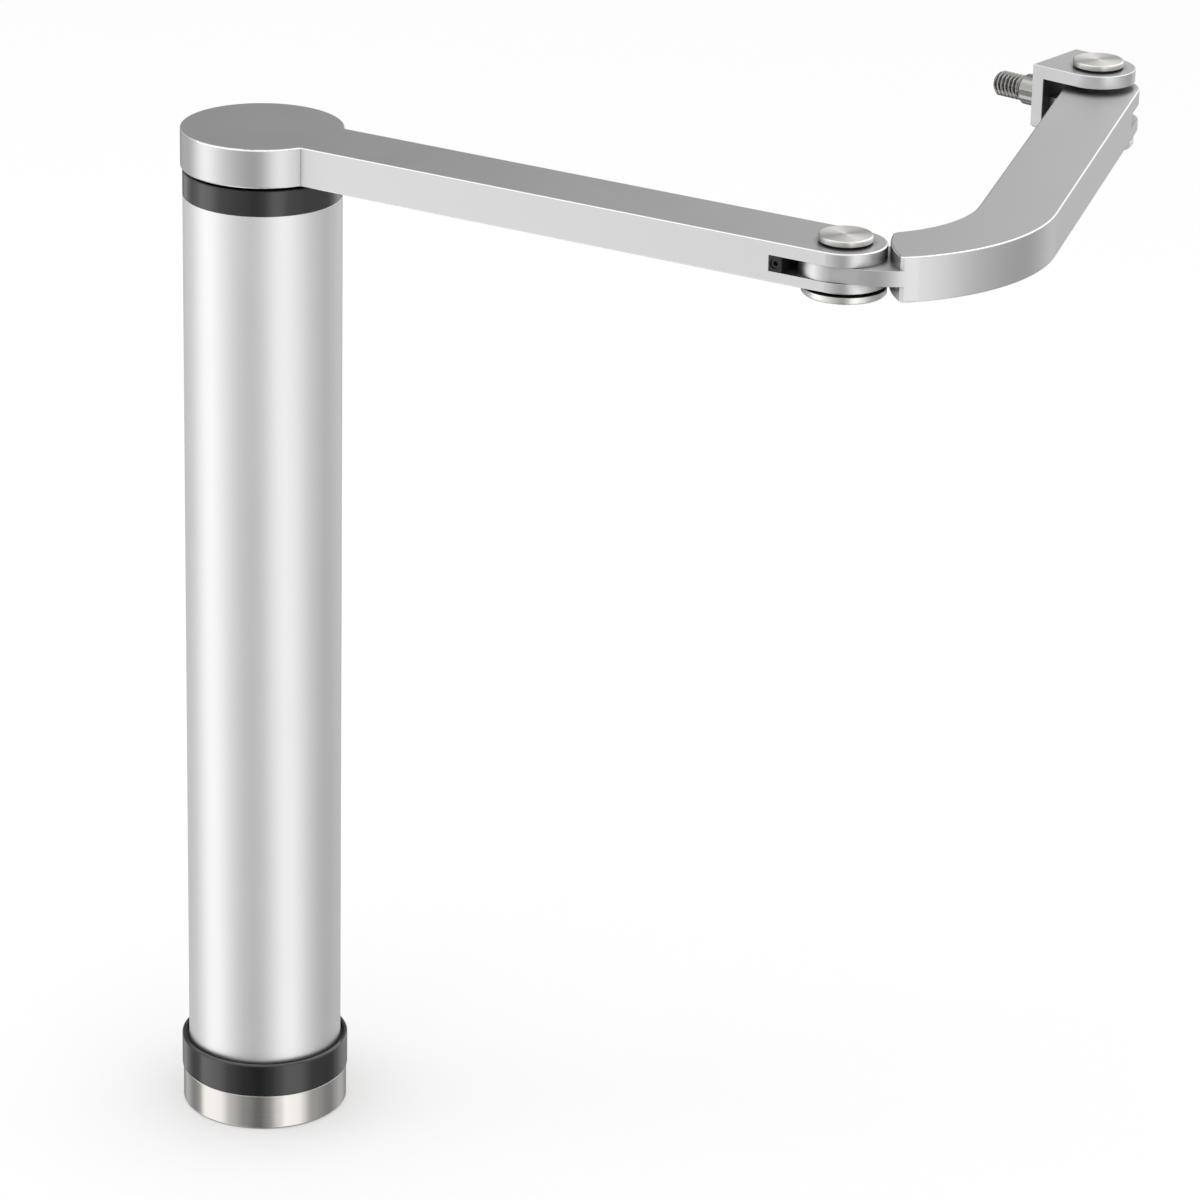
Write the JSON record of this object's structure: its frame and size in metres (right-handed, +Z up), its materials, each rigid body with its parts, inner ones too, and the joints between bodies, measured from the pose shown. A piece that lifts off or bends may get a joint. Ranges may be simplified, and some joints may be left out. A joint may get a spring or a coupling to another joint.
{
  "type": "motorized gate closer",
  "caption": "Upright cylindrical gate operator on a round foot, with a swinging arm, a bent second arm, pivot pins and a bracket whose threaded stud fixes to the gate.",
  "frame": {"origin": "centre of the foot's underside, where the unit is bolted down", "axes": "+Z up along the drive unit's axis, +X along the first arm in its rest pose"},
  "size_m": [0.3294, 0.28, 0.4119],
  "materials": {
    "arm_aluminium": "satin, brushed",
    "tube_aluminium": "satin",
    "brushed_steel": "turned, brushed",
    "dark_steel": "black oxide",
    "gear_steel": "machined",
    "bearing_steel": "ground",
    "black_polymer": "satin black",
    "bush_bronze": "plain",
    "seal_rubber": "matte",
    "motor_steel": "plated",
    "magnet_grey": "sintered",
    "core_copper": "lacquered winding",
    "board_green": "solder mask",
    "terminal_green": "moulded",
    "capacitor_sleeve": "sleeved"
  },
  "bodies": {
    "housing": {"foot": "brushed_steel", "lower_collar": "black_polymer", "housing_tube": "tube_aluminium", "upper_collar": "black_polymer", "tube_screws": "dark_steel", "cable_gland": "black_polymer", "board_carrier": "black_polymer", "control_board": "board_green", "terminal_block": "terminal_green", "capacitors": "capacitor_sleeve", "motor_can": "motor_steel", "motor_magnets": "magnet_grey", "motor_end_cap": "motor_steel", "motor_flange": "gear_steel", "motor_bearings": "bearing_steel", "ring_gear": "gear_steel", "gearbox_screws": "dark_steel", "bearing_housing": "tube_aluminium", "lower_bearing_outer": "bearing_steel", "upper_bearing_outer": "bearing_steel", "shaft_seal": "seal_rubber", "collar_screws": "dark_steel"},
    "rotor": {"rotor_shaft": "bearing_steel", "rotor_core": "core_copper", "encoder_disc": "black_polymer", "sun_gear": "gear_steel"},
    "first_carrier": {"first_carrier": "gear_steel", "first_planet_pins": "bearing_steel"},
    "drive_arm": {"output_shaft": "brushed_steel", "second_planet_pins": "bearing_steel", "lower_bearing_inner": "bearing_steel", "upper_bearing_inner": "bearing_steel", "shaft_circlip": "dark_steel", "hub_key": "brushed_steel", "hub_screw": "dark_steel", "drive_arm": "arm_aluminium", "stop_block": "black_polymer", "stop_screw": "dark_steel", "elbow_pin": "brushed_steel", "elbow_disc": "brushed_steel", "elbow_disc_screw": "brushed_steel"},
    "gate_arm": {"gate_arm": "arm_aluminium", "elbow_bush": "bush_bronze", "bracket_bushes": "bush_bronze"},
    "gate_bracket": {"gate_bracket": "arm_aluminium", "bracket_pad": "black_polymer", "bracket_pin": "brushed_steel", "bracket_disc": "brushed_steel", "bracket_disc_screw": "brushed_steel", "gate_stud": "brushed_steel"},
    "first_planet_1": {"first_planet_1": "gear_steel"},
    "first_planet_2": {"first_planet_2": "gear_steel"},
    "first_planet_3": {"first_planet_3": "gear_steel"},
    "second_planet_1": {"second_planet_1": "gear_steel"},
    "second_planet_2": {"second_planet_2": "gear_steel"},
    "second_planet_3": {"second_planet_3": "gear_steel"}
  },
  "joints": [
    {"name": "drive_arm_swing", "type": "hinge", "parent": "housing", "child": "drive_arm", "pos_m": [0, 0, 0.387], "axis": [0, 0, 1], "range_deg": [-100, 100]},
    {"name": "elbow", "type": "hinge", "parent": "drive_arm", "child": "gate_arm", "pos_m": [0.247, 0, 0.394], "axis": [0, 0, 1], "range_deg": [-115, 64]},
    {"name": "bracket_pivot", "type": "hinge", "parent": "gate_arm", "child": "gate_bracket", "pos_m": [0.23323, 0.22996, 0.394], "axis": [0, 0, 1], "range_deg": [-120, 25]},
    {"name": "rotor_spin", "type": "hinge", "parent": "housing", "child": "rotor", "pos_m": [0, 0, 0.24], "axis": [0, 0, 1], "range_deg": [-2100, 2100]},
    {"name": "first_carrier_spin", "type": "hinge", "parent": "housing", "child": "first_carrier", "pos_m": [0, 0, 0.3], "axis": [0, 0, 1], "range_deg": [-460, 460]},
    {"name": "first_planet_1_spin", "type": "hinge", "parent": "first_carrier", "child": "first_planet_1", "pos_m": [0.01215, 0, 0.295], "axis": [0, 0, 1], "range_deg": [-1300, 1300]},
    {"name": "first_planet_2_spin", "type": "hinge", "parent": "first_carrier", "child": "first_planet_2", "pos_m": [-0.00607, 0.01052, 0.295], "axis": [0, 0, 1], "range_deg": [-1300, 1300]},
    {"name": "first_planet_3_spin", "type": "hinge", "parent": "first_carrier", "child": "first_planet_3", "pos_m": [-0.00607, -0.01052, 0.295], "axis": [0, 0, 1], "range_deg": [-1300, 1300]},
    {"name": "second_planet_1_spin", "type": "hinge", "parent": "drive_arm", "child": "second_planet_1", "pos_m": [0.01215, 0, 0.308], "axis": [0, 0, 1], "range_deg": [-290, 290]},
    {"name": "second_planet_2_spin", "type": "hinge", "parent": "drive_arm", "child": "second_planet_2", "pos_m": [-0.00607, 0.01052, 0.308], "axis": [0, 0, 1], "range_deg": [-290, 290]},
    {"name": "second_planet_3_spin", "type": "hinge", "parent": "drive_arm", "child": "second_planet_3", "pos_m": [-0.00607, -0.01052, 0.308], "axis": [0, 0, 1], "range_deg": [-290, 290]}
  ],
  "couplings": [
    {"joint": "rotor_spin", "follows": "drive_arm_swing", "ratio": 20.25},
    {"joint": "first_carrier_spin", "follows": "drive_arm_swing", "ratio": 4.5},
    {"joint": "first_planet_1_spin", "follows": "drive_arm_swing", "ratio": -12.6},
    {"joint": "first_planet_2_spin", "follows": "drive_arm_swing", "ratio": -12.6},
    {"joint": "first_planet_3_spin", "follows": "drive_arm_swing", "ratio": -12.6},
    {"joint": "second_planet_1_spin", "follows": "drive_arm_swing", "ratio": -2.8},
    {"joint": "second_planet_2_spin", "follows": "drive_arm_swing", "ratio": -2.8},
    {"joint": "second_planet_3_spin", "follows": "drive_arm_swing", "ratio": -2.8}
  ]
}
